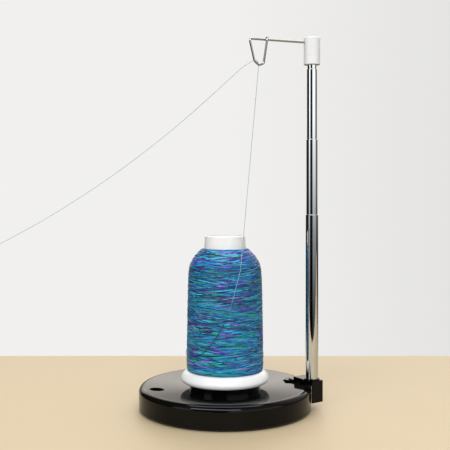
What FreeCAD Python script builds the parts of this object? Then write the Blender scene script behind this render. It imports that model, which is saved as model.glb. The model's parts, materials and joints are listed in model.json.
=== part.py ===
"""Cone-thread stand: a weighted round base with a spool pin and a cone of thread, and a three-draw
telescoping mast on a side bracket that holds a wire thread guide over the cone.

Millimetres. +Z is up, the origin is the centre of the underside, and the mast stands on the +X side."""

import FreeCAD, Part
import math
import os
import re

import Sketcher

DOC = FreeCAD.newDocument("spool_holder_stand")
SHEET = "Sizes"

# The driving dimensions, in millimetres and degrees
SIZES = {
    # base
    "base_radius": 62.0,
    "skirt_gap": 0.8,
    "foot_chamfer": 1.0,
    "rim_height": 16.9,
    "rim_round": 4.0,
    "dish_height": 14.9,
    "shell_wall": 2.4,
    "ceiling_round": 3.0,
    "ceiling_height": 12.4,
    "seat_radius": 25.4,
    "seat_height": 18.4,
    "pad_radius": 57.5,
    "pad_thickness": 1.4,
    "plate_radius": 59.0,
    "plate_thickness": 2.0,
    "ballast_inner": 11.0,
    "ballast_outer": 41.8,
    # the two mast holes, and the screws that hold the base plate
    "hole_circle": 50.0,
    "hole_angle": 16.0,
    "hole_radius": 5.2,
    "hole_boss_radius": 8.0,
    "hole_boss_foot": 8.5,
    "fixing_circle": 52.0,
    "fixing_boss_radius": 4.0,
    "fixing_radius": 1.5,
    "fixing_head_radius": 3.2,
    "fixing_top": 12.0,
    # spool pin and what centres the cone on it
    "pin_radius": 3.0,
    "pin_foot": 5.2,
    "pin_top": 112.0,
    "pin_chamfer": 1.2,
    "pin_flange_radius": 9.0,
    "pin_flange_thickness": 1.8,
    "pin_play": 0.1,
    "nut_across": 10.0,
    "nut_thickness": 5.0,
    "washer_radius": 8.0,
    "washer_thickness": 1.2,
    "felt_inner": 9.5,
    "felt_outer": 25.0,
    "felt_thickness": 0.9,
    "bush_height": 24.0,
    "bush_wall": 1.6,
    "bush_play": 0.35,
    "hub_radius": 6.0,
    "hub_height": 20.0,
    # cone of thread
    "core_foot_radius": 20.0,
    "core_top_radius": 14.5,
    "core_length": 104.9,
    "core_wall": 1.3,
    "core_round": 0.8,
    "flange_radius": 31.7,
    "flange_shoulder": 27.4,
    "flange_height": 8.3,
    "wound_radius": 27.4,
    "wound_top_radius": 26.3,
    "wound_side_top": 95.0,
    "shoulder_radius": 25.0,
    "shoulder_height": 103.6,
    "wound_tip_radius": 15.9,
    "wound_top": 115.1,
    "cone_play": 0.02,
    # mast bracket
    "mast_circle": 62.7,
    "mast_angle": -1.0,
    "bracket_angle": -55.0,
    "bar_half_width": 5.0,
    "bar_inner": 14.6,
    "bar_outer": 6.0,
    "bar_bottom": 17.2,
    "bar_top": 20.6,
    "leg_inner": 9.0,
    "leg_bottom": 5.1,
    "leg_play": 0.2,
    "peg_radius": 4.6,
    "peg_foot": 9.0,
    "peg_top": 17.5,
    "peg_shift": 0.45,
    "web_bottom": 17.3,
    "web_top": 18.2,
    "web_low": 4.8,
    "web_high": 1.0,
    "socket_radius": 5.65,
    "socket_height": 1.0,
    "socket_play": 0.05,
    "spigot_radius": 4.15,
    "spigot_height": 11.4,
    "peg_screw_radius": 1.5,
    "peg_screw_top": 16.0,
    "peg_screw_head": 3.0,
    "peg_washer_radius": 4.5,
    # mast: outer, inner and lip radius of each tube, then its two ends
    "lower_outer": 4.5,
    "lower_inner": 4.2,
    "lower_lip": 4.1,
    "lower_top": 139.4,
    "middle_outer": 4.05,
    "middle_inner": 3.78,
    "middle_lip": 3.7,
    "middle_bottom": 92.6,
    "middle_top": 193.6,
    "upper_outer": 3.65,
    "upper_inner": 3.38,
    "upper_lip": 3.3,
    "upper_bottom": 140.2,
    "upper_top": 244.2,
    "rod_outer": 3.25,
    "rod_inner": 2.4,
    "rod_bottom": 162.0,
    "rod_top": 261.6,
    "lip_length": 1.4,
    "lip_round": 0.3,
    "sleeve_length": 13.0,
    "sleeve_play": 0.03,
    # guide
    "arm_angle": 199.7,
    "cap_radius": 5.9,
    "cap_top": 266.9,
    "cap_round": 0.8,
    "cap_joint": 253.7,
    "cap_foot": 247.4,
    "cap_bore": 3.3,
    "cap_bore_top": 262.0,
    "cavity_radius": 4.6,
    "cavity_top": 255.0,
    "ring_inner": 2.95,
    "ring_outer": 4.3,
    "ring_bottom": 253.9,
    "ring_thickness": 0.8,
    "wire_radius": 0.8,
    "wire_height": 263.2,
    "wire_start": 1.5,
    # loose thread
    "thread_radius": 0.18,
    "knot_radius": 0.8,
    "knot_length": 1.6,
}

# The guide wire's corners: out along the arm, towards the front, height over the arm, and bend radius
EYE_CORNERS = [
    (48.3, 0.0, 0.0, 1.3),
    (44.5, 0.0, -15.6, 1.5),
    (41.2, 0.0, -18.3, 2.0),
    (37.6, 0.0, -16.8, 1.5),
    (35.8, 1.7, -1.0, 1.0),
    (35.4, 1.7, 1.9, 1.5),
    (34.7, -1.7, 1.9, 1.5),
    (34.4, -1.7, -1.6, None),
]

# The loose thread, by hand: up from the cone, then over the guide's eye and away to the left
STRAND = [
    ("thread_strand_low", (10.8, -23.38, 101.9), (14.25, -20.79, 140.0)),
    ("thread_strand_middle", (14.25, -20.79, 140.0), (17.42, -18.41, 175.0)),
    ("thread_strand_upper", (17.42, -18.41, 175.0), (20.41, -16.16, 208.0)),
    ("thread_strand_top", (20.41, -16.16, 208.0), (23.62, -13.75, 243.5)),
]
TAIL = [
    (23.62, -13.75, 243.5),
    (23.83, -13.55, 246.0),
    (22.6, -15.4, 248.2),
    (21.0, -17.4, 248.3),
    (18.7, -17.85, 247.1),
    (15.4, -17.95, 245.1),
    (10.6, -18.1, 241.6),
    (3.0, -18.4, 234.5),
    (-9.0, -18.9, 223.4),
    (-28.0, -19.5, 206.3),
    (-56.0, -20.0, 183.3),
    (-86.0, -20.3, 161.5),
    (-114.0, -20.4, 143.4),
    (-139.0, -20.4, 128.7),
    (-163.0, -20.3, 116.3),
]


def make_sheet():
    """The spreadsheet of driving dimensions."""
    cells = DOC.addObject("Spreadsheet::Sheet", SHEET)
    for row, (alias, value) in enumerate(SIZES.items(), start=1):
        cells.set(f"A{row}", alias)
        cells.set(f"B{row}", str(value))
        cells.setAlias(f"B{row}", alias)
    DOC.recompute()
    return cells


sheet = make_sheet()


def bound(text):
    """An expression in the sheet's aliases, as the document's objects read it."""
    return re.sub(r"[a-z_]+", lambda found: f"{SHEET}.{found[0]}" if found[0] in SIZES else found[0], str(text))


def size(text):
    """The value of an expression in the sheet's aliases."""
    return float(sheet.evalExpression(bound(text)))


def core_radius(height):
    """The cone core's outer radius at a height, as an expression."""
    return f"core_foot_radius - (core_foot_radius - core_top_radius) * (({height}) - {CONE_FOOT}) / core_length"


CONE_FOOT = "(seat_height + felt_thickness)"
PLATE_TOP = "pad_thickness + plate_thickness"
MAST_PLACE = ("mast_circle * cos(mast_angle)", "mast_circle * sin(mast_angle)")


# ---------------------------------------------------------------- sketches and features


def arc_between(start, stop, radius, side):
    """The short arc between two points, with its centre on the left (side 1) or right (-1) of the way."""
    way = stop - start
    left = FreeCAD.Vector(-way.y, way.x, 0).normalize()
    rise = math.sqrt(max(radius**2 - (way.Length / 2) ** 2, 0))
    centre = (start + stop) / 2 + left * side * rise
    ends = (start, stop) if side > 0 else (stop, start)
    angles = [math.atan2(end.y - centre.y, end.x - centre.x) for end in ends]
    return Part.ArcOfCircle(Part.Circle(centre, FreeCAD.Vector(0, 0, 1), radius), *angles)


def hold(sketch, kind, edge, end, text, axis):
    """Holds a sketch point at a distance from an axis, bound to the sheet."""
    value = size(text)
    if abs(value) < 1e-9:
        sketch.addConstraint(Sketcher.Constraint("PointOnObject", edge, end, axis))
        return
    places = (-1, 1, edge, end) if value > 0 else (edge, end, -1, 1)
    number = sketch.addConstraint(Sketcher.Constraint(kind, *places, abs(value)))
    sketch.setExpression(f"Constraints[{number}]", bound(text) if value > 0 else f"-({bound(text)})")


def outline(body, plane, corners):
    """A closed sketch through corners (across, up). A corner may also give (radius, side) of an arc that
    leaves it, as arc_between takes them."""
    sketch = body.newObject("Sketcher::SketchObject", body.Label + "_outline")
    sketch.AttachmentSupport = ([o for o in body.Origin.OriginFeatures if o.Role == plane][0], [""])
    sketch.MapMode = "FlatFace"
    points = [FreeCAD.Vector(size(corner[0]), size(corner[1]), 0) for corner in corners]
    ends = []
    for corner, start, stop in zip(corners, points, points[1:] + points[:1]):
        if len(corner) == 2:
            sketch.addGeometry(Part.LineSegment(start, stop), False)
            ends.append((1, 2))
        else:
            sketch.addGeometry(arc_between(start, stop, size(corner[2]), corner[3]), False)
            ends.append((1, 2) if corner[3] > 0 else (2, 1))
    for edge, end in enumerate(ends):
        after = (edge + 1) % len(ends)
        sketch.addConstraint(Sketcher.Constraint("Coincident", edge, end[1], after, ends[after][0]))
    for edge, corner in enumerate(corners):
        hold(sketch, "DistanceX", edge, ends[edge][0], corner[0], -2)
        hold(sketch, "DistanceY", edge, ends[edge][0], corner[1], -1)
        if len(corner) > 2:
            number = sketch.addConstraint(Sketcher.Constraint("Radius", edge, size(corner[2])))
            sketch.setExpression(f"Constraints[{number}]", bound(corner[2]))
    return sketch


def new_body(label, place=("0", "0"), turn="0"):
    """An empty body, placed and turned about +Z by the sheet."""
    body = DOC.addObject("PartDesign::Body", label)
    body.Label = label
    body.AllowCompound = True
    body.Placement = FreeCAD.Placement(FreeCAD.Vector(), FreeCAD.Rotation(FreeCAD.Vector(0, 0, 1), size(turn)))
    body.setExpression("Placement.Base.x", bound(place[0]))
    body.setExpression("Placement.Base.y", bound(place[1]))
    return body


def turned(label, corners, place=("0", "0"), turn="0"):
    """A body made by turning an outline of (radius, height) corners about its own upright axis."""
    body = new_body(label, place, turn)
    sketch = outline(body, "XZ_Plane", corners)
    feature = body.newObject("PartDesign::Revolution", label + "_turned")
    feature.Profile = sketch
    feature.ReferenceAxis = (sketch, ["V_Axis"])
    feature.Angle = 360
    DOC.recompute()
    return body


def padded(body, name, corners, low, high):
    """Adds a prism of an outline between two heights."""
    sketch = outline(body, "XY_Plane", corners)
    sketch.setExpression("AttachmentOffset.Base.z", bound(low))
    feature = body.newObject("PartDesign::Pad", name)
    feature.Profile = sketch
    feature.setExpression("Length", bound(f"({high}) - ({low})"))
    DOC.recompute()


def round_feature(body, kind, name, radius, low, high, place=("0", "0")):
    """Adds ("Additive") or takes away ("Subtractive") an upright cylinder between two heights."""
    before = body.Shape.Volume if body.Tip else 0.0
    feature = body.newObject(f"PartDesign::{kind}Cylinder", name)
    feature.setExpression("Radius", bound(radius))
    feature.setExpression("Height", bound(f"({high}) - ({low})"))
    for axis, text in zip("xyz", (*place, low)):
        feature.setExpression(f"Placement.Base.{axis}", bound(text))
    DOC.recompute()
    grew = body.Shape.Volume - before
    if (grew > 0) != (kind == "Additive"):
        raise RuntimeError(f"{name} changed {body.Label} by {grew:.3f} mm3")


def round_box(across, along):
    """The corners of an upright rectangle given by its low and high sides."""
    return [(across[0], along[0]), (across[1], along[0]), (across[1], along[1]), (across[0], along[1])]


def ring(label, inner, outer, low, high, place=("0", "0")):
    """A flat ring, or a disc if inner is 0."""
    return turned(label, round_box((inner, outer), (low, high)), place)


# ---------------------------------------------------------------- base


def mast_holes():
    """Places of the two mast holes in a body that is turned by hole_angle."""
    return [("hole_circle", "0"), ("-hole_circle", "0")]


def fixings():
    """Places of the four base-plate screws in a body that is turned by hole_angle."""
    return [(f"fixing_circle * cos({a})", f"fixing_circle * sin({a})") for a in (45, 135, 225, 315)]


def make_base():
    edge = "base_radius - rim_round"
    inside = "base_radius - shell_wall"
    shell = turned(
        "base_shell",
        [
            ("0", "ceiling_height"),
            (f"{inside} - ceiling_round", "ceiling_height", "ceiling_round", -1),
            (inside, "ceiling_height - ceiling_round"),
            (inside, "skirt_gap"),
            ("base_radius - foot_chamfer", "skirt_gap"),
            ("base_radius", "skirt_gap + foot_chamfer"),
            ("base_radius", "rim_height - rim_round", "rim_round", 1),
            (edge, "rim_height"),
            ("seat_radius", "dish_height"),
            ("seat_radius", "seat_height"),
            ("0", "seat_height"),
        ],
        turn="hole_angle",
    )
    for number, place in enumerate(mast_holes()):
        round_feature(
            shell, "Additive", f"hole_boss_{number}", "hole_boss_radius", "hole_boss_foot", "ceiling_height + 0.5", place
        )
    for number, place in enumerate(fixings()):
        round_feature(
            shell, "Additive", f"fixing_boss_{number}", "fixing_boss_radius", PLATE_TOP, "ceiling_height + 0.5", place
        )
    for number, place in enumerate(mast_holes()):
        round_feature(
            shell, "Subtractive", f"mast_hole_{number}", "hole_radius", "hole_boss_foot - 1", "seat_height + 1", place
        )
    for number, place in enumerate(fixings()):
        round_feature(shell, "Subtractive", f"pilot_hole_{number}", "fixing_radius", PLATE_TOP, "fixing_top", place)
    round_feature(
        shell, "Subtractive", "pin_hole", "pin_radius + pin_play / 2", "ceiling_height - 1", "seat_height + 1"
    )

    ring("ballast_weight", "ballast_inner", "ballast_outer", PLATE_TOP, "ceiling_height")
    ring("nonslip_pad", "0", "pad_radius", "0", "pad_thickness")

    plate = turned("base_plate", round_box(("0", "plate_radius"), ("pad_thickness", PLATE_TOP)), turn="hole_angle")
    screws = new_body("base_plate_screws", turn="hole_angle")
    for number, place in enumerate(fixings()):
        for body, kind in ((plate, "Subtractive"), (screws, "Additive")):
            head = body.newObject(f"PartDesign::{kind}Cone", f"{body.Label}_cone_{number}")
            head.setExpression("Radius1", bound("fixing_head_radius"))
            head.setExpression("Radius2", bound("fixing_radius"))
            head.setExpression("Height", bound("plate_thickness"))
            for axis, text in zip("xyz", (*place, "pad_thickness")):
                head.setExpression(f"Placement.Base.{axis}", bound(text))
        DOC.recompute()
        round_feature(screws, "Additive", f"shank_{number}", "fixing_radius", PLATE_TOP, "fixing_top", place)


# ---------------------------------------------------------------- spool pin


def make_spool_pin():
    flange_top = "seat_height + pin_flange_thickness"
    turned(
        "spool_pin",
        [
            ("0", "pin_foot"),
            ("pin_radius", "pin_foot"),
            ("pin_radius", "seat_height"),
            ("pin_flange_radius", "seat_height"),
            ("pin_flange_radius", flange_top),
            ("pin_radius", flange_top),
            ("pin_radius", "pin_top - pin_chamfer"),
            ("pin_radius - pin_chamfer", "pin_top"),
            ("0", "pin_top"),
        ],
    )
    washer_foot = "ceiling_height - washer_thickness"
    ring("spool_pin_washer", "pin_radius + pin_play", "washer_radius", washer_foot, "ceiling_height")
    nut = new_body("spool_pin_nut")
    corners = [(f"nut_across / sqrt(3) * cos({a})", f"nut_across / sqrt(3) * sin({a})") for a in range(10, 370, 60)]
    padded(nut, "nut_hexagon", corners, f"{washer_foot} - nut_thickness", washer_foot)
    round_feature(nut, "Subtractive", "nut_thread", "pin_radius", f"{washer_foot} - nut_thickness - 1", "seat_height")
    ring("spool_felt", "felt_inner", "felt_outer", "seat_height", CONE_FOOT)

    foot, top = flange_top, f"{flange_top} + bush_height"
    low = f"{core_radius(foot)} - core_wall - bush_play"
    high = f"{core_radius(top)} - core_wall - bush_play"
    web_top = f"{flange_top} + bush_wall"
    turned(
        "centring_bush",
        [
            ("pin_radius + pin_play", foot),
            (low, foot),
            (high, top),
            (f"{high} - bush_wall", top),
            (f"{low} - bush_wall", web_top),
            ("hub_radius", web_top),
            ("hub_radius", f"{foot} + hub_height"),
            ("pin_radius + pin_play", f"{foot} + hub_height"),
        ],
    )


# ---------------------------------------------------------------- cone of thread


def make_cone():
    core_top = f"{CONE_FOOT} + core_length"
    turned(
        "cone_core",
        [
            ("core_foot_radius - core_wall", CONE_FOOT),
            ("core_foot_radius", CONE_FOOT),
            (core_radius(f"{core_top} - core_round"), f"{core_top} - core_round", "core_round", 1),
            ("core_top_radius - core_round", core_top),
            ("core_top_radius - core_wall", core_top),
        ],
    )
    flange_top = f"{CONE_FOOT} + flange_height"
    turned(
        "cone_flange",
        [
            ("core_foot_radius + cone_play", CONE_FOOT),
            ("flange_radius - 2.6", CONE_FOOT, "2.8", 1),
            ("flange_radius", f"{CONE_FOOT} + 2.6"),
            ("flange_radius", f"{CONE_FOOT} + 3.1", "7", 1),
            ("flange_shoulder", flange_top),
            ("core_foot_radius + cone_play", flange_top),
        ],
    )
    turned(
        "thread_package",
        [
            (f"{core_radius(flange_top)} + cone_play", flange_top),
            ("wound_radius - 0.8", flange_top, "3.2", 1),
            ("wound_radius", f"{flange_top} + 2.4"),
            ("wound_top_radius", "wound_side_top", "30", 1),
            ("shoulder_radius", "shoulder_height", "31", 1),
            ("wound_tip_radius", "wound_top"),
            (f"{core_radius('wound_top')} + cone_play", "wound_top"),
        ],
    )


# ---------------------------------------------------------------- mast


def make_bracket():
    """The bracket's own X runs out along its bar and its Z is the mast's axis."""
    base_place = (
        "-mast_circle * cos(mast_angle - bracket_angle)",
        "-mast_circle * sin(mast_angle - bracket_angle)",
    )
    hole_across = f"{base_place[0]} + hole_circle * cos(hole_angle - bracket_angle)"
    hole_along = f"{base_place[1]} + hole_circle * sin(hole_angle - bracket_angle)"
    peg = (hole_across, f"{hole_along} + peg_shift")

    bracket = new_body("mast_bracket", MAST_PLACE, "bracket_angle")
    width = ("-bar_half_width", "bar_half_width")
    padded(bracket, "leg", round_box(("-leg_inner", "bar_outer"), width), "leg_bottom", "bar_bottom")
    round_feature(
        bracket, "Subtractive", "rim_clearance", "base_radius + leg_play", "leg_bottom - 1", "bar_bottom", base_place
    )
    padded(bracket, "bar", round_box(("-bar_inner", "bar_outer"), width), "bar_bottom", "bar_top")
    padded(bracket, "web", round_box((peg[0], "-bar_inner + 0.5"), ("-web_low", "-web_high")), "web_bottom", "web_top")
    round_feature(bracket, "Additive", "peg", "peg_radius", "peg_foot", "peg_top", peg)
    round_feature(bracket, "Subtractive", "peg_pilot", "peg_screw_radius", "peg_foot - 1", "peg_screw_top", peg)
    round_feature(bracket, "Additive", "socket", "socket_radius", "bar_top - 0.5", "bar_top + socket_height")
    round_feature(
        bracket, "Subtractive", "socket_bore", "lower_outer + socket_play", "bar_top", "bar_top + socket_height + 1"
    )
    round_feature(bracket, "Additive", "spigot", "spigot_radius", "bar_top - 0.5", "bar_top + spigot_height")

    # the peg's screw and washer, under the boss, in the base's own directions
    turn = f"cos(bracket_angle) * ({peg[0]}) - sin(bracket_angle) * ({peg[1]})"
    lift = f"sin(bracket_angle) * ({peg[0]}) + cos(bracket_angle) * ({peg[1]})"
    place = (f"{MAST_PLACE[0]} + {turn}", f"{MAST_PLACE[1]} + {lift}")
    ring(
        "bracket_washer", "peg_screw_radius + pin_play", "peg_washer_radius", "hole_boss_foot - 1", "hole_boss_foot", place
    )
    head = "hole_boss_foot - 1"
    turned(
        "bracket_screw",
        [
            ("0", f"{head} - 2.2"),
            ("peg_screw_head", f"{head} - 2.2"),
            ("peg_screw_head", head),
            ("peg_screw_radius", head),
            ("peg_screw_radius", "peg_screw_top"),
            ("0", "peg_screw_top"),
        ],
        place,
    )


def make_mast():
    for name, low in (("lower", "bar_top"), ("middle", "middle_bottom"), ("upper", "upper_bottom")):
        top = f"{name}_top"
        turned(
            f"{name}_tube",
            [
                (f"{name}_inner", low),
                (f"{name}_outer", low),
                (f"{name}_outer", f"{top} - lip_round", "lip_round", 1),
                (f"{name}_outer - lip_round", top),
                (f"{name}_lip", top),
                (f"{name}_lip", f"{top} - lip_length"),
                (f"{name}_inner", f"{top} - lip_length"),
            ],
            MAST_PLACE,
        )
    for outside, inside in (("lower", "middle"), ("middle", "upper"), ("upper", "rod")):
        low = f"{inside}_bottom"
        ring(
            f"{inside}_friction_sleeve",
            f"{inside}_outer",
            f"{outside}_inner - sleeve_play",
            low,
            f"{low} + sleeve_length",
            MAST_PLACE,
        )
    groove_top = "ring_bottom + ring_thickness"
    turned(
        "top_rod",
        [
            ("rod_inner", "rod_bottom"),
            ("rod_outer", "rod_bottom"),
            ("rod_outer", "ring_bottom"),
            ("ring_inner", "ring_bottom"),
            ("ring_inner", groove_top),
            ("rod_outer", groove_top),
            ("rod_outer", "rod_top"),
            ("rod_inner", "rod_top"),
        ],
        MAST_PLACE,
    )
    ring("retaining_ring", "ring_inner", "ring_outer", "ring_bottom", groove_top, MAST_PLACE)


# ---------------------------------------------------------------- guide


def make_guide_cap():
    cap = turned(
        "guide_cap",
        [
            ("cavity_radius", "cap_joint"),
            ("cap_radius", "cap_joint"),
            ("cap_radius", "cap_top - cap_round", "cap_round", 1),
            ("cap_radius - cap_round", "cap_top"),
            ("0", "cap_top"),
            ("0", "cap_bore_top"),
            ("cap_bore", "cap_bore_top"),
            ("cap_bore", "cavity_top"),
            ("cavity_radius", "cavity_top"),
        ],
        MAST_PLACE,
        "arm_angle",
    )
    hole = cap.newObject("PartDesign::SubtractiveCylinder", "wire_hole")
    hole.Placement = FreeCAD.Placement(FreeCAD.Vector(), FreeCAD.Rotation(FreeCAD.Vector(0, 1, 0), 90))
    hole.setExpression("Radius", bound("wire_radius"))
    hole.setExpression("Height", bound("cap_radius"))
    hole.setExpression("Placement.Base.x", bound("wire_start"))
    hole.setExpression("Placement.Base.z", bound("wire_height"))
    ring("cap_skirt", "cap_bore", "cap_radius", "cap_foot", "cap_joint", MAST_PLACE)


def rounded_path(points, radii):
    """Straight runs through points, joined at the inner ones by tangent arcs of the given radii."""
    edges, last = [], points[0]
    for before, corner, after, radius in zip(points, points[1:], points[2:], radii):
        back, on = (before - corner).normalize(), (after - corner).normalize()
        half_turn = (math.pi - back.getAngle(on)) / 2
        inwards = (back + on).normalize()
        start = corner + back * radius * math.tan(half_turn)
        stop = corner + on * radius * math.tan(half_turn)
        middle = corner + inwards * radius * (1 / math.cos(half_turn) - 1)
        edges += [Part.LineSegment(last, start).toShape(), Part.Arc(start, middle, stop).toShape()]
        last = stop
    edges.append(Part.LineSegment(last, points[-1]).toShape())
    return Part.Wire(edges)


def rod_along(label, path, radius):
    """A round rod along a path, as a feature of its own; its volume is compared with section times length."""
    first = path.Edges[0]
    start, way = first.valueAt(first.FirstParameter), first.tangentAt(first.FirstParameter)
    solid = path.makePipeShell([Part.Wire([Part.makeCircle(radius, start, way)])], True, False)
    wanted = math.pi * radius**2 * path.Length
    if abs(solid.Volume - wanted) > 0.01 * wanted:
        raise RuntimeError(f"{label}: {solid.Volume:.3f} mm3 where its section times its length is {wanted:.3f}")
    feature = DOC.addObject("Part::Feature", label)
    feature.Label = label
    feature.Shape = solid
    return feature


def make_guide_wire():
    """The wire's own X runs out along the arm from the mast's axis, and its Y towards the front."""
    height = size("wire_height")
    points = [FreeCAD.Vector(size("wire_start"), 0, height)]
    points += [FreeCAD.Vector(out, front, height + up) for out, front, up, _ in EYE_CORNERS]
    path = rounded_path(points, [corner[3] for corner in EYE_CORNERS[:-1]])
    wire = rod_along("guide_wire", path, size("wire_radius"))
    place = FreeCAD.Vector(size(MAST_PLACE[0]), size(MAST_PLACE[1]), 0)
    wire.Placement = FreeCAD.Placement(place, FreeCAD.Rotation(FreeCAD.Vector(0, 0, 1), size("arm_angle")))


# ---------------------------------------------------------------- loose thread


def widest_radii(points):
    """For each inner point, an arc that uses 0.45 of the shorter run beside it."""
    radii = []
    for before, corner, after in zip(points, points[1:], points[2:]):
        runs = (before - corner, after - corner)
        half_turn = (math.pi - runs[0].getAngle(runs[1])) / 2
        radii.append(0.45 * min(run.Length for run in runs) / math.tan(half_turn))
    return radii


def make_thread():
    radius = size("thread_radius")
    for label, start, stop in STRAND:
        path = rounded_path([FreeCAD.Vector(*start), FreeCAD.Vector(*stop)], [])
        rod_along(label, path, radius)
        print(f"{label}: straight, {path.Length:.1f} mm long")
    points = [FreeCAD.Vector(*place) for place in TAIL]
    radii = widest_radii(points)
    path = rounded_path(points, radii)
    rod_along("thread_tail", path, radius)
    print(f"thread_tail: {path.Length:.1f} mm long, bend radii {[round(r, 1) for r in radii]}")

    knot = DOC.addObject("Part::Cylinder", "tail_knot")
    knot.Label = "tail_knot"
    knot.setExpression("Radius", bound("knot_radius"))
    knot.setExpression("Height", bound("knot_length"))
    way = points[-1] - points[-2]
    knot.Placement = FreeCAD.Placement(points[-1], FreeCAD.Rotation(FreeCAD.Vector(0, 0, 1), way))


# ---------------------------------------------------------------- checks and files


def write_parts():
    """Checks every object and shape, then writes each sub-part to its own STEP file."""
    DOC.recompute()
    for found in DOC.Objects:
        if "Invalid" in found.State or "Error" in found.State:
            raise RuntimeError(f"{found.Label} failed: {found.State}")
    pieces = [o for o in DOC.Objects if o.TypeId == "PartDesign::Body"]
    pieces += [o for o in DOC.Objects if o.TypeId in ("Part::Feature", "Part::Cylinder")]
    for piece in pieces:
        if piece.Shape.isNull() or not piece.Shape.isValid() or not piece.Shape.Solids:
            raise RuntimeError(f"{piece.Label} has no valid solid")
    os.makedirs("parts", exist_ok=True)
    for piece in pieces:
        piece.Shape.exportStep(f"parts/{piece.Label}.step")
    print(f"{len(pieces)} nodes")


make_base()
make_spool_pin()
make_cone()
make_bracket()
make_mast()
make_guide_cap()
make_guide_wire()
make_thread()
write_parts()
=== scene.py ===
import json
import math

import bpy
import numpy as np
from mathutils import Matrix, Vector


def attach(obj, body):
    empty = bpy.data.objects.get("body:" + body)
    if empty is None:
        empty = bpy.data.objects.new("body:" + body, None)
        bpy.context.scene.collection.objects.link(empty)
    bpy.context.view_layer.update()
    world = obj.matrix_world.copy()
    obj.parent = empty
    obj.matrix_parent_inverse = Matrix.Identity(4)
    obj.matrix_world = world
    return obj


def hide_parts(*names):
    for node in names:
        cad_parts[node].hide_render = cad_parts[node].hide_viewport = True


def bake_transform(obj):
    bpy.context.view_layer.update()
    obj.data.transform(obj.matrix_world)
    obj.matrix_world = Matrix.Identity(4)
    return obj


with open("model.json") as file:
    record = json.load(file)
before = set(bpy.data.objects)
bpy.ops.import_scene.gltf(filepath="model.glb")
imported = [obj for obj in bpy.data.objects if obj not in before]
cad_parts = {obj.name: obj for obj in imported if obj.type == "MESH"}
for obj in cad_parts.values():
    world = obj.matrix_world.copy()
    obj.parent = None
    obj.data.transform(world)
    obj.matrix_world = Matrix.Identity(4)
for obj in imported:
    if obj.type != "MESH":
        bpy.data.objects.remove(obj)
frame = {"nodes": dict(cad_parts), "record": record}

MM = 0.001
scene = bpy.context.scene
nodes = frame["nodes"]
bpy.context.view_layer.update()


# ---------------------------------------------------------------- camera


CAMERA_PLACE = (0, -0.578, 0.1535)
LENS, SENSOR = 64, 36
FRAME_SHIFT = -0.0667


def make_camera():
    """Level, in front of the stand and a little above the cone, framed lower than it points."""
    data = bpy.data.cameras.new("camera")
    data.sensor_width, data.lens, data.shift_y = SENSOR, LENS, FRAME_SHIFT
    data.clip_start, data.clip_end = 0.01, 20
    camera = bpy.data.objects.new("camera", data)
    camera.location = CAMERA_PLACE
    camera.rotation_euler = (math.radians(90), 0, 0)
    scene.collection.objects.link(camera)
    scene.camera = camera


make_camera()


# ---------------------------------------------------------------- material graphs


class Surface:
    """A material's node graph around one Principled shader."""

    def __init__(self, name, **settings):
        self.material = bpy.data.materials.new(name)
        self.material.use_nodes = True
        self.tree = self.material.node_tree
        self.shader = self.tree.nodes["Principled BSDF"]
        self.set(self.shader, settings)

    def set(self, node, settings):
        """Links or fills a node's inputs, by number or by name with underscores for spaces."""
        for key, value in settings.items():
            socket = node.inputs[key.replace("_", " ") if isinstance(key, str) else key]
            if isinstance(value, bpy.types.NodeSocket):
                self.tree.links.new(value, socket)
            else:
                socket.default_value = value

    def add(self, kind, settings=None, **properties):
        node = self.tree.nodes.new(kind)
        for name, value in properties.items():
            setattr(node, name, value)
        self.set(node, settings or {})
        return node

    def place(self, scale=(1, 1, 1)):
        """Object coordinates, in metres, scaled."""
        source = self.add("ShaderNodeTexCoord").outputs["Object"]
        return self.add("ShaderNodeMapping", {"Vector": source, "Scale": scale}).outputs["Vector"]

    def noise(self, scale, stretch=(1, 1, 1), detail=3.0):
        settings = {"Vector": self.place(stretch), "Scale": scale, "Detail": detail}
        return self.add("ShaderNodeTexNoise", settings).outputs["Fac"]

    def spread(self, value, low, high, start=0.3, stop=0.7):
        """Spreads the part of a pattern from start to stop between two numbers."""
        settings = {"From_Min": start, "From_Max": stop, "To_Min": low, "To_Max": high}
        return self.add("ShaderNodeMapRange", {"Value": value, **settings}).outputs["Result"]

    def tints(self, value, stops):
        """A colour ramp of (position, colour) stops."""
        ramp = self.add("ShaderNodeValToRGB", {"Fac": value})
        elements = ramp.color_ramp.elements
        elements[0].position, elements[0].color = stops[0][0], (*stops[0][1], 1)
        elements[1].position, elements[1].color = stops[-1][0], (*stops[-1][1], 1)
        for position, colour in stops[1:-1]:
            elements.new(position).color = (*colour, 1)
        return ramp.outputs["Color"]

    def bump(self, height, strength, distance):
        settings = {"Height": height, "Strength": strength, "Distance": distance}
        return self.add("ShaderNodeBump", settings).outputs["Normal"]

    def drive(self, **settings):
        self.set(self.shader, settings)


def black_gloss():
    """Polished moulding: an even mirror with a faint swell, rubbing marks and a little dust."""
    s = Surface("black_gloss", IOR=1.5, Specular_IOR_Level=0.16)
    clean, dulled, dusty = (0.0015, 0.0015, 0.0014), (0.002, 0.002, 0.0019), (0.012, 0.012, 0.011)
    tint = s.tints(s.noise(2600, detail=2), [(0.0, clean), (0.68, dulled), (0.8, dusty)])
    rubbed = s.noise(70, (1, 1, 0.4), 6)
    swell = s.bump(s.noise(28, detail=1), 0.03, 0.0006)
    s.drive(Base_Color=tint, Roughness=s.spread(rubbed, 0.035, 0.085), Normal=swell)
    return s.material


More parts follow.
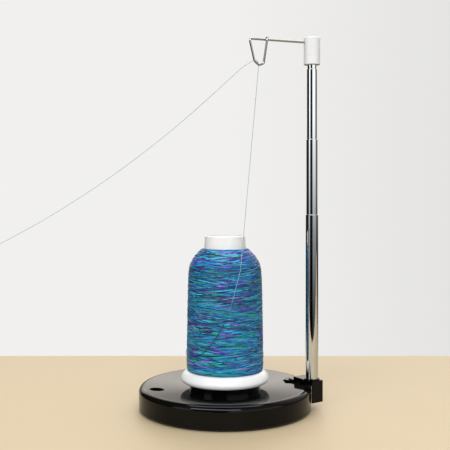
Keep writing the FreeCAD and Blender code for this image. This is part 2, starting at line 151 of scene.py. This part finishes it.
def white_plastic():
    """Moulded white plastic, slightly translucent, with a fine satin grain and faint marks."""
    s = Surface(
        "white_plastic",
        IOR=1.48,
        Subsurface_Weight=0.15,
        Subsurface_Scale=0.002,
        Subsurface_Radius=(1.0, 0.9, 0.8),
    )
    cloud = s.noise(55, detail=4)
    tint = s.tints(cloud, [(0.25, (0.79, 0.8, 0.82)), (0.75, (0.85, 0.86, 0.87))])
    grain = s.bump(s.noise(3800, detail=2), 0.12, 0.00006)
    s.drive(Base_Color=tint, Roughness=s.spread(cloud, 0.24, 0.36), Normal=grain)
    return s.material


def drawn_metal(name, colour, low, high, stretch=(1, 1, 0.02)):
    """Bright metal with faint marks along the way it was drawn, and smudges that dull it a little.

    A stretch of 1 each way gives even marks, for metal that wasn't drawn upwards."""
    s = Surface(name, Metallic=1.0)
    smudge = s.noise(45, (1, 1, 0.5), 4)
    marks = s.noise(5200, stretch, 2)
    smudged = tuple(0.88 * c for c in colour)
    tint = s.tints(smudge, [(0.3, colour), (0.75, smudged)])
    drawn = s.bump(marks, 0.05, 0.00004)
    s.drive(Base_Color=tint, Roughness=s.spread(smudge, low, high), Normal=drawn)
    return s.material


def fibrous(name, dark, light, scale):
    """Felt, foam rubber or another soft dull surface."""
    s = Surface(name, Roughness=0.95, Sheen_Weight=0.25, Sheen_Roughness=0.6)
    fibres = s.noise(scale, detail=8)
    tint = s.tints(fibres, [(0.3, dark), (0.7, light)])
    s.drive(Base_Color=tint, Normal=s.bump(fibres, 0.6, 0.0003))
    return s.material


def satin_plastic():
    s = Surface("satin_plastic", IOR=1.5)
    grain = s.noise(2400, detail=3)
    tint = s.tints(grain, [(0.3, (0.012, 0.012, 0.012)), (0.7, (0.02, 0.02, 0.02))])
    satin = s.bump(grain, 0.2, 0.00008)
    s.drive(Base_Color=tint, Roughness=s.spread(grain, 0.4, 0.55), Normal=satin)
    return s.material


def cast_iron():
    s = Surface("cast_iron", Metallic=0.7)
    sand = s.noise(900, detail=8)
    tint = s.tints(sand, [(0.3, (0.05, 0.05, 0.052)), (0.7, (0.13, 0.125, 0.12))])
    s.drive(Base_Color=tint, Roughness=s.spread(sand, 0.55, 0.8), Normal=s.bump(sand, 0.5, 0.0004))
    return s.material


def wound_thread():
    """The wound package: each point of the mesh holds its dye with painted shade in the grooves
    between turns, and fine fibres run round.
    """
    s = Surface("wound_thread", IOR=1.5, Specular_IOR_Level=0.3)
    dye_with_shade = s.add("ShaderNodeAttribute", attribute_name="dye_and_shade").outputs["Color"]
    fibres = s.noise(320, (1, 1, 14), 4)
    shade = s.spread(fibres, 0.7, 1.2, 0.25, 0.75)
    tint = s.add("ShaderNodeVectorMath", {0: dye_with_shade, "Scale": shade}, operation="SCALE").outputs[0]
    twist = s.bump(fibres, 0.45, 0.00025)
    s.drive(Base_Color=tint, Roughness=s.spread(fibres, 0.34, 0.5), Normal=twist)
    return s.material


def loose_thread():
    """One thread of the same dye, paler by itself: its colour changes slowly along its way."""
    s = Surface("loose_thread", IOR=1.5, Sheen_Weight=0.2, Roughness=0.42)
    stops = [
        (0.3, (0.2, 0.5, 0.6)),
        (0.42, (0.4, 0.42, 0.62)),
        (0.5, (0.2, 0.45, 0.45)),
        (0.6, (0.3, 0.38, 0.5)),
        (0.72, (0.35, 0.3, 0.55)),
    ]
    plies = s.bump(s.noise(5200, (1, 1, 0.25), 1), 0.5, 0.0001)
    s.drive(Base_Color=s.tints(s.noise(26, detail=0), stops), Normal=plies)
    return s.material


def lying_thread():
    """The last length unwound: pale at the shoulder, and dark green round the package's foot."""
    s = Surface("lying_thread", IOR=1.5, Roughness=0.45)
    place = s.add("ShaderNodeTexCoord").outputs["Object"]
    height = s.add("ShaderNodeSeparateXYZ", {"Vector": place}).outputs["Z"]
    waver = {0: s.noise(40, detail=1), 1: 0.01, 2: height}
    wavering = s.add("ShaderNodeMath", waver, operation="MULTIPLY_ADD").outputs[0]
    stops = [
        (0.0, (0.002, 0.02, 0.028)),
        (0.42, (0.003, 0.03, 0.05)),
        (0.58, (0.1, 0.3, 0.5)),
        (1.0, (0.3, 0.42, 0.7)),
    ]
    s.drive(Base_Color=s.tints(s.spread(wavering, 0, 1, 0.055, 0.1), stops))
    return s.material


LOOKS = {
    "black_gloss": black_gloss(),
    "black_satin": satin_plastic(),
    "pad_rubber": fibrous("foam_rubber", (0.01, 0.01, 0.01), (0.03, 0.03, 0.03), 1500),
    "ballast_iron": cast_iron(),
    "zinc_steel": drawn_metal("zinc_steel", (0.62, 0.62, 0.6), 0.28, 0.4, (1, 1, 1)),
    "pin_steel": drawn_metal("pin_steel", (0.78, 0.78, 0.78), 0.12, 0.2),
    "felt_black": fibrous("black_felt", (0.004, 0.004, 0.005), (0.014, 0.014, 0.016), 2600),
    "white_plastic": white_plastic(),
    "thread": loose_thread(),
    "lying_thread": lying_thread(),
    "wound_thread": wound_thread(),
    "chrome_tube": drawn_metal("chrome_tube", (0.66, 0.68, 0.68), 0.04, 0.09),
    "brass_sleeve": drawn_metal("brass_sleeve", (0.72, 0.5, 0.2), 0.25, 0.35, (1, 1, 1)),
    "spring_steel": drawn_metal("spring_steel", (0.3, 0.3, 0.3), 0.3, 0.45, (1, 1, 1)),
    "guide_steel": drawn_metal("guide_steel", (0.45, 0.45, 0.44), 0.14, 0.22, (1, 1, 1)),
}


def dress(thing, look):
    """Gives an object one of the looks."""
    thing.data.materials.clear()
    thing.data.materials.append(LOOKS[look])


for part in frame["record"]["subparts"]:
    dress(nodes[part["node"]], part["material_slot"])


# ---------------------------------------------------------------- loose thread


THREAD_RADIUS = 0.18 * MM
# The taut thread from the package up to the guide's eye: the points in millimetres where it is cut,
# the body that each point moves with, and the strands between them
CUTS = [
    ((10.8, -23.38, 101.9), "stand"),
    ((14.25, -20.79, 140.0), "middle_draw"),
    ((17.42, -18.41, 175.0), "upper_draw"),
    ((20.41, -16.16, 208.0), "top_draw"),
    ((23.62, -13.75, 243.5), "guide"),
]
STRANDS = ["strand_low", "strand_middle", "strand_upper", "strand_top"]
# Over the guide's eye and away to the left, to just outside the view
TAIL = [
    (23.62, -13.75, 243.5),
    (23.83, -13.55, 246.0),
    (22.6, -15.4, 248.2),
    (21.0, -17.4, 248.3),
    (18.7, -17.85, 247.1),
    (15.4, -17.95, 245.1),
    (10.6, -18.1, 241.6),
    (3.0, -18.4, 234.5),
    (-9.0, -18.9, 223.4),
    (-28.0, -19.5, 206.3),
    (-56.0, -20.0, 183.3),
    (-86.0, -20.3, 161.5),
    (-114.0, -20.4, 143.4),
    (-139.0, -20.4, 128.7),
    (-163.0, -20.3, 116.3),
]
# Down over the shoulder from where the thread leaves, across the front and round the package's foot
LOOSE_TURN = [
    (10.8, -23.38, 101.9),
    (9.62, -25.33, 96.9),
    (7.78, -26.5, 90.5),
    (5.12, -27.36, 80.0),
    (2.05, -27.93, 71.0),
    (-1.53, -28.14, 63.0),
    (-5.93, -27.73, 55.5),
    (-11.25, -26.19, 48.2),
    (-16.98, -22.91, 42.3),
    (-22.71, -17.19, 39.6),
    (-26.91, -9.62, 39.4),
    (-28.54, -1.02, 40.2),
    (-27.53, 6.13, 41.2),
]


def metres(place):
    return tuple(MM * c for c in place)


def curve_through(name, points, radius, closed=False):
    """A round cord whose control points are the route's."""
    data = bpy.data.curves.new(name, "CURVE")
    data.dimensions = "3D"
    spline = data.splines.new("NURBS")
    spline.points.add(len(points) - 1)
    for point, place in zip(spline.points, points):
        point.co = (*metres(place), 1)
    spline.order_u = 3
    spline.use_endpoint_u, spline.use_cyclic_u = not closed, closed
    data.resolution_u = 12
    data.bevel_depth = radius
    data.bevel_resolution = 2
    data.use_fill_caps = True
    thing = bpy.data.objects.new(name, data)
    scene.collection.objects.link(thing)
    return thing


def mesh_object(name, places, faces):
    data = bpy.data.meshes.new(name)
    data.from_pydata([tuple(p) for p in places], [], [tuple(int(i) for i in f) for f in faces])
    data.validate()
    data.shade_smooth()
    thing = bpy.data.objects.new(name, data)
    scene.collection.objects.link(thing)
    return thing


def straight_strand(name, start, end, rings=24, sides=8):
    """A thread under tension: a round strand in short rings, so that it can lengthen evenly."""
    start, end = Vector(start) * MM, Vector(end) * MM
    way = (end - start).normalized()
    across = way.orthogonal().normalized()
    up = way.cross(across)
    places, faces = [], []
    for ring in range(rings + 1):
        centre = start.lerp(end, ring / rings)
        for side in range(sides):
            angle = 2 * math.pi * side / sides
            out = across * math.cos(angle) + up * math.sin(angle)
            places.append(centre + THREAD_RADIUS * out)
    for ring in range(rings):
        for side in range(sides):
            a, b = ring * sides + side, ring * sides + (side + 1) % sides
            faces.append((a, b, b + sides, a + sides))
    faces.append(tuple(reversed(range(sides))))
    faces.append(tuple(range(rings * sides, (rings + 1) * sides)))
    return mesh_object(name, places, faces)


def knot_points(place, size=0.42, count=18):
    """A small overhand knot, pulled tight: a trefoil just behind and below the thread's end."""
    behind, below = 0.7, 0.35
    wide, tall = 0.54 * size, 0.7 * size
    points = []
    for step in range(count):
        t = 2 * math.pi * step / count
        across = math.cos(t) + 1.4 * math.cos(2 * t)
        up = math.sin(t) - 1.4 * math.sin(2 * t)
        points.append(
            (
                place[0] - behind + wide * across,
                place[1] + tall * up,
                place[2] - below - size * math.sin(3 * t),
            )
        )
    return points


def make_strands():
    """The taut thread in four strands, one between each pair of cuts up the mast."""
    for name, (start, below), (end, above) in zip(STRANDS, CUTS, CUTS[1:]):
        strand = straight_strand(name, start, end)
        dress(strand, "thread")
        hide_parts("thread_" + name)
        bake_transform(strand)


def make_tail():
    tail = curve_through("thread_run", TAIL, THREAD_RADIUS)
    knot = curve_through("end_knot", knot_points(TAIL[-1]), 1.1 * THREAD_RADIUS, closed=True)
    for thing, node in ((tail, "thread_tail"), (knot, "tail_knot")):
        dress(thing, "thread")
        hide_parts(node)
        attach(thing, "guide")


def make_loose_turn():
    turn = curve_through("loose_turn", LOOSE_TURN, THREAD_RADIUS)
    dress(turn, "lying_thread")
    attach(turn, "cone")


make_strands()
make_tail()
make_loose_turn()


# ---------------------------------------------------------------- wound package


# Radius and height of the package's outline from its foot to its tip, in millimetres
OUTLINE = [
    (26.2, 27.7),
    (27.0, 28.9),
    (27.35, 31.0),
    (27.25, 42.0),
    (26.95, 60.0),
    (26.6, 80.0),
    (26.3, 94.0),
    (25.8, 99.3),
    (24.9, 103.6),
    (23.1, 107.2),
    (20.7, 110.6),
    (17.9, 113.5),
    (15.9, 115.0),
]
# Where the skin is closed against the cone
FOOT_INNER, TIP_INNER = 19.75, 15.1

# Linear colours of the dyed thread, and how much of it has each
DYES = [
    ((0.012, 0.29, 0.32), 0.27),  # teal
    ((0.04, 0.38, 0.66), 0.17),  # cyan
    ((0.013, 0.14, 0.56), 0.17),  # blue
    ((0.004, 0.035, 0.23), 0.1),  # deep blue
    ((0.1, 0.014, 0.34), 0.11),  # violet
    ((0.24, 0.16, 0.6), 0.04),  # lilac
    ((0.015, 0.38, 0.34), 0.09),  # sea green
    ((0.002, 0.04, 0.06), 0.06),  # spruce
]
PALETTE = np.array([colour for colour, _ in DYES])
SHARES = np.array([share for _, share in DYES])
# Lengths of one colour in a turn, about 15 mm each
DYE_LENGTHS = 11
# Rows in the tables of random numbers that threads are looked up in
CHANCES = 1021
# Patches where neighbouring threads tend to one colour: how many round the package, and how high
POOLS_ROUND, POOL_HEIGHT = 7, 6.5

# Points round the skin, and millimetres along the outline between its rings and between its turns
COLUMNS, ROW_STEP, TURN_PITCH = 320, 0.24, 0.66
# The two crossing lays of turns: how many turns each climbs in one way round, its seed, and the
# number of its first thread
LAYS = ((30, 5, 0), (-27, 6, 2000))
# Height of a turn over the gaps between turns, in millimetres
RELIEF = 0.16

# The last turns: millimetres between the points where the outline is read, and how far they stay
# from its ends
TURN_STEP, END_MARGIN = 0.5, 1.0


def outline_by_length(step):
    """The outline resampled by arc length: radii, heights, distances along it, outward normals."""
    knots = np.array(OUTLINE, dtype=float)
    fine = []
    padded = np.vstack([2 * knots[0] - knots[1], knots, 2 * knots[-1] - knots[-2]])
    for a, b, c, d in zip(padded, padded[1:], padded[2:], padded[3:]):
        t = np.linspace(0, 1, 40, endpoint=False)[:, None]
        bend = (2 * a - 5 * b + 4 * c - d) * t**2
        fine.append(0.5 * (2 * b + (c - a) * t + bend + (3 * b - a - 3 * c + d) * t**3))
    fine = np.vstack([*fine, knots[-1:]])
    along = np.concatenate([[0], np.cumsum(np.linalg.norm(np.diff(fine, axis=0), axis=1))])
    at = np.linspace(0, along[-1], int(along[-1] / step) + 1)
    radius, height = np.interp(at, along, fine[:, 0]), np.interp(at, along, fine[:, 1])
    way = np.stack([np.gradient(radius, at), np.gradient(height, at)], axis=1)
    way /= np.linalg.norm(way, axis=1)[:, None]
    return radius, height, at, np.stack([way[:, 1], -way[:, 0]], axis=1)


def lattice(rows, columns, seed):
    return np.random.default_rng(seed).random((rows, columns))


def eased(share):
    """A smooth step for a share from 0 to 1."""
    return share * share * (3 - 2 * share)


def soft_noise(table, row, column):
    """Smooth noise from a table of random numbers that repeats both ways."""
    rows, columns = table.shape
    r0, c0 = np.floor(row).astype(int), np.floor(column).astype(int)
    fr, fc = eased(row - r0), eased(column - c0)

    def across(r):
        return table[r % rows, c0 % columns] * (1 - fc) + table[r % rows, (c0 + 1) % columns] * fc

    return across(r0) * (1 - fr) + across(r0 + 1) * fr


POOLS = lattice(23, POOLS_ROUND, 3)


def dye_of(thread, around, height, seed):
    """Linear colour of a thread, by its number, the way round (0 to 1) and the height in mm.

    It changes along the thread, and neighbours tend to one colour where the dye has pooled."""
    place = around * DYE_LENGTHS + (thread * 0.618) % 1 * DYE_LENGTHS
    cell = np.floor(place).astype(int)
    share = eased(np.clip((place - cell - 0.32) / 0.36, 0, 1))
    table = lattice(CHANCES, DYE_LENGTHS, seed)
    edges = np.cumsum(SHARES / SHARES.sum())
    pool = soft_noise(POOLS, height / POOL_HEIGHT, around * POOLS_ROUND)

    def tint(step):
        chance = table[(thread.astype(int) * 7) % CHANCES, (cell + step) % DYE_LENGTHS]
        chance = np.clip((0.7 * chance + 0.3 * pool - 0.13) / 0.74, 0, 0.999)
        return PALETTE[np.searchsorted(edges, chance)]

    return tint(0) * (1 - share[:, None]) + tint(1) * share[:, None]


def paint(thing, dye_and_shade):
    """Holds the colour at each point (the dye, with painted shade in the grooves of the skin) and
    gives the wound thread's look.
    """
    layer = thing.data.color_attributes.new("dye_and_shade", "FLOAT_COLOR", "POINT")
    opaque = np.hstack([dye_and_shade, np.ones((len(dye_and_shade), 1))])
    layer.data.foreach_set("color", opaque.astype(np.float32).ravel())
    dress(thing, "wound_thread")


def round_the_axis(radius, height, angle):
    """Points from radii, heights and angles."""
    return np.stack([radius * np.cos(angle), radius * np.sin(angle), height], axis=-1)


def lay_turns(u, v):
    """Level, crown and thread number of the uppermost of two crossing lays of turns.

    u is the way round from 0 to 1, and v is the way along the outline in millimetres."""
    lays = []
    for climb, seed, first in LAYS:
        place = v / TURN_PITCH + climb * u
        thread = np.floor(place)
        tall = lattice(CHANCES, 1, seed)[thread.astype(int) % CHANCES, 0]
        wander = soft_noise(lattice(60, 10, seed + 20), v / 1.7, u * 10)
        crown = np.sqrt(np.clip(1 - (2 * (place - thread) - 1) ** 2, 0, 1))
        lays.append((0.6 * tall + wander + 0.25 * crown, crown, thread + first))
    upper = lays[0][0] > lays[1][0]
    return [np.where(upper, one, other) for one, other in zip(*lays)]


def wound_surface():
    """The package's skin of two crossing lays of turns, closed inwards to the cone."""
    radius, height, along, outward = outline_by_length(ROW_STEP)
    around = np.arange(COLUMNS) / COLUMNS
    v, u = np.meshgrid(along, around, indexing="ij")
    level, crown, thread = lay_turns(u, v)
    ends = np.clip(np.minimum(v, along[-1] - v) / 1.5, 0, 1)
    rise = (RELIEF * crown + RELIEF * (level - 0.9)) * MM * ends
    r = radius[:, None] * MM + rise * outward[:, :1]
    h = height[:, None] * MM + rise * outward[:, 1:]
    angle = 2 * math.pi * u + math.pi / 2
    places = round_the_axis(r, h, angle).reshape(-1, 3)

    thread, crown = thread.ravel(), crown.ravel()
    # Painted shade: each thread's dye is darkened towards the grooves between turns and is full on
    # its crown
    dye_and_shade = dye_of(thread, u.ravel(), np.repeat(height, COLUMNS), 9) * (0.3 + 0.75 * crown)[:, None]
    dye_and_shade *= 0.45 + 1.15 * lattice(CHANCES, 1, 31)[(thread * 3).astype(int) % CHANCES]

    rows = len(along)
    index = np.arange(rows * COLUMNS).reshape(rows, COLUMNS)
    beside = np.roll(index, -1, axis=1)
    quads = np.stack([index[:-1], beside[:-1], beside[1:], index[1:]], axis=-1)
    faces = quads.reshape(-1, 4).tolist()
    inner = [
        round_the_axis(q * MM, np.full(COLUMNS, z * MM), angle[0])
        for q, z in ((FOOT_INNER, height[0]), (TIP_INNER, height[-1]))
    ]
    low, high, top = rows * COLUMNS, (rows + 1) * COLUMNS, (rows - 1) * COLUMNS
    for i in range(COLUMNS):
        j = (i + 1) % COLUMNS
        faces.append([low + i, low + j, j, i])
        faces.append([top + i, top + j, high + j, high + i])
        faces.append([high + i, high + j, low + j, low + i])
    skin = mesh_object("wound_surface", np.vstack([places, *inner]), faces)
    paint(skin, np.vstack([dye_and_shade, dye_and_shade[:COLUMNS], dye_and_shade[-COLUMNS:]]))
    return skin


def wound_turns(count=150, sides=5):
    """The last turns, that lie on the others: each runs part of the way round at its own slope."""
    rng = np.random.default_rng(11)
    radius, height, along, outward = outline_by_length(TURN_STEP)
    places, faces, dye_and_shade = [], [], []
    for turn in range(count):
        length = rng.uniform(0.35, 1.2)
        start, middle = rng.random(), rng.uniform(2.5, along[-1] - 2.5)
        slope = rng.choice([-1, 1]) * rng.uniform(10, 24)
        thick = rng.uniform(0.2, 0.27)
        shade = rng.choice([0.35, 0.8, 1.1], p=[0.3, 0.4, 0.3])

        steps = int(150 * length)
        t = np.linspace(0, 1, steps)
        u = start + t * length
        v = np.clip(middle + slope * (t - 0.5) * length, END_MARGIN, along[-1] - END_MARGIN)
        v = v + 0.25 * np.sin(2 * math.pi * (u * 3 + turn * 0.37))
        r, h = np.interp(v, along, radius), np.interp(v, along, height)
        nr, nh = np.interp(v, along, outward[:, 0]), np.interp(v, along, outward[:, 1])
        # both ends dive under the turns below
        sink = 0.45 * np.clip(1 - np.minimum(t, 1 - t) * steps / 10, 0, 1)
        angle = 2 * math.pi * u + math.pi / 2
        base = len(places)
        for side in range(sides):
            a = 2 * math.pi * side / sides
            out, up = thick * math.cos(a) + 0.2 - sink, thick * math.sin(a)
            rim = round_the_axis(r + nr * out - nh * up, h + nh * out + nr * up, angle)
            places.extend(rim * MM)
        tint = dye_of(np.full(steps, 4000.0 + turn), u % 1, h, 13 + turn % 5) * shade
        dye_and_shade.extend(np.tile(tint, (sides, 1)))
        for side in range(sides):
            here, there = base + side * steps, base + (side + 1) % sides * steps
            for i in range(steps - 1):
                faces.append([here + i, there + i, there + i + 1, here + i + 1])
        faces.append([base + side * steps for side in range(sides)])
        faces.append([base + side * steps + steps - 1 for side in reversed(range(sides))])
    turns = mesh_object("wound_turns", places, faces)
    paint(turns, np.array(dye_and_shade))
    return turns


package = wound_surface()
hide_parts("thread_package")
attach(package, "cone")
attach(wound_turns(), "cone")


# ---------------------------------------------------------------- studio


FLOOR_SIDE, FLOOR_BACK, FLOOR_FRONT = 1.6, 0.185, -0.27


def make_floor():
    """A plain pale table top whose back edge lies 0.12 m behind the base."""
    x, back, front = FLOOR_SIDE, FLOOR_BACK, FLOOR_FRONT
    corners = [(-x, front, 0), (x, front, 0), (x, back, 0), (-x, back, 0)]
    floor = mesh_object("floor", corners, [(0, 1, 2, 3)])
    s = Surface("pale_table", Roughness=0.5, Specular_IOR_Level=0.3)
    s.drive(Base_Color=(0.53, 0.43, 0.28, 1))
    floor.data.materials.append(s.material)


def make_light(name, place, aim, size, power):
    data = bpy.data.lights.new(name, "AREA")
    data.shape, data.size, data.size_y = "RECTANGLE", *size
    data.energy = power
    light = bpy.data.objects.new(name, data)
    light.location = place
    light.rotation_euler = (Vector(aim) - Vector(place)).to_track_quat("-Z", "Y").to_euler()
    light.visible_camera = False
    scene.collection.objects.link(light)


# Brightness by the way round from the viewer, in degrees with the left side negative: the pale
# walls behind the stand, and the windows to the viewer's left and right with the dim room between
WALLS = [
    (-180, 0.95),
    (-150, 0.75),
    (-142, 0.02),
    (-66, 0.06),
    (0, 0.03),
    (84, 0.14),
    (100, 0.3),
    (142, 0.4),
    (150, 1.1),
    (180, 0.95),
]
WINDOWS = [
    (-180, 0),
    (-72, 0),
    (-66, 2.0),
    (-46, 2.0),
    (-41, 0),
    (4, 0),
    (9, 1.7),
    (74, 1.5),
    (82, 0),
    (180, 0),
]
# Brightness by the height in degrees over the horizon, for the walls and for the windows
WALL_LEVEL = [
    (-90, 0.03),
    (-5, 0.05),
    (0, 0.6),
    (8, 0.6),
    (10, 0.8),
    (13.5, 1.8),
    (16, 2.5),
    (50, 2.5),
    (60, 0.3),
    (90, 0.3),
]
WINDOW_LEVEL = [
    (-90, 0.02),
    (-9, 0.03),
    (-3, 0.22),
    (2, 0.62),
    (7, 1),
    (13, 1),
    (22, 0.2),
    (90, 0.1),
]
# Brightness of the wall that is seen behind the stand, by its direction from left (-1) to right (1)
BACKDROP = [(-1, 0.88), (0, 0.88), (0.27, 0.78), (1, 0.74)]
WALL_TINT, WINDOW_TINT, BACKDROP_TINT = (1, 0.93, 0.86), (0.95, 1, 1.03), (1, 0.992, 0.975)


def make_world():
    """A pale wall behind, two broad soft windows beside the viewer, and a dim room between."""
    world = bpy.data.worlds.new("studio")
    scene.world = world
    world.use_nodes = True
    tree = world.node_tree
    link, new = tree.links.new, tree.nodes.new

    def calculate(operation, *inputs):
        node = new("ShaderNodeMath")
        node.operation = operation
        for socket, value in zip(node.inputs, inputs):
            if isinstance(value, bpy.types.NodeSocket):
                link(value, socket)
            else:
                socket.default_value = value
        return node.outputs[0]

    def degrees(operation, *inputs):
        return calculate("MULTIPLY", calculate(operation, *inputs), 180 / math.pi)

    def curve(value, points):
        """A piecewise linear function of a value."""
        low, high = points[0][0], points[-1][0]
        node = new("ShaderNodeFloatCurve")
        line = node.mapping.curves[0]
        top = max(y for _, y in points)
        at = [((x - low) / (high - low), y / top) for x, y in points]
        line.points[0].location, line.points[-1].location = at[0], at[-1]
        for x, y in at[1:-1]:
            line.points.new(x, y)
        for point in line.points:
            point.handle_type = "VECTOR"
        node.mapping.update()
        share = calculate("MULTIPLY_ADD", value, 1 / (high - low), -low / (high - low))
        link(share, node.inputs["Value"])
        return calculate("MULTIPLY", node.outputs["Value"], top)

    def tinted(tint, value):
        node = new("ShaderNodeVectorMath")
        node.operation = "SCALE"
        node.inputs[0].default_value = tint
        link(value, node.inputs["Scale"])
        return node.outputs[0]

    split = new("ShaderNodeSeparateXYZ")
    link(new("ShaderNodeTexCoord").outputs["Generated"], split.inputs[0])
    x, y, z = split.outputs
    turn = degrees("ARCTAN2", x, calculate("MULTIPLY", y, -1))
    lift = degrees("ARCSINE", z)
    room = new("ShaderNodeVectorMath")
    walls = calculate("MULTIPLY", curve(turn, WALLS), curve(lift, WALL_LEVEL))
    windows = calculate("MULTIPLY", curve(turn, WINDOWS), curve(lift, WINDOW_LEVEL))
    link(tinted(WALL_TINT, walls), room.inputs[0])
    link(tinted(WINDOW_TINT, windows), room.inputs[1])

    mix = new("ShaderNodeMix")
    mix.data_type = "RGBA"
    link(new("ShaderNodeLightPath").outputs["Is Camera Ray"], mix.inputs["Factor"])
    link(room.outputs[0], mix.inputs["A"])
    link(tinted(BACKDROP_TINT, curve(x, BACKDROP)), mix.inputs["B"])
    link(mix.outputs["Result"], tree.nodes["Background"].inputs["Color"])


make_floor()
make_light("key", (-0.4, -1.7, 1.3), (0, 0, 0.1), (2.4, 0.6), 40)
make_light("overhead", (0, 0.1, 1.9), (0, 0, 0.05), (1.8, 0.5), 16)
make_world()
scene.view_settings.view_transform = "Standard"
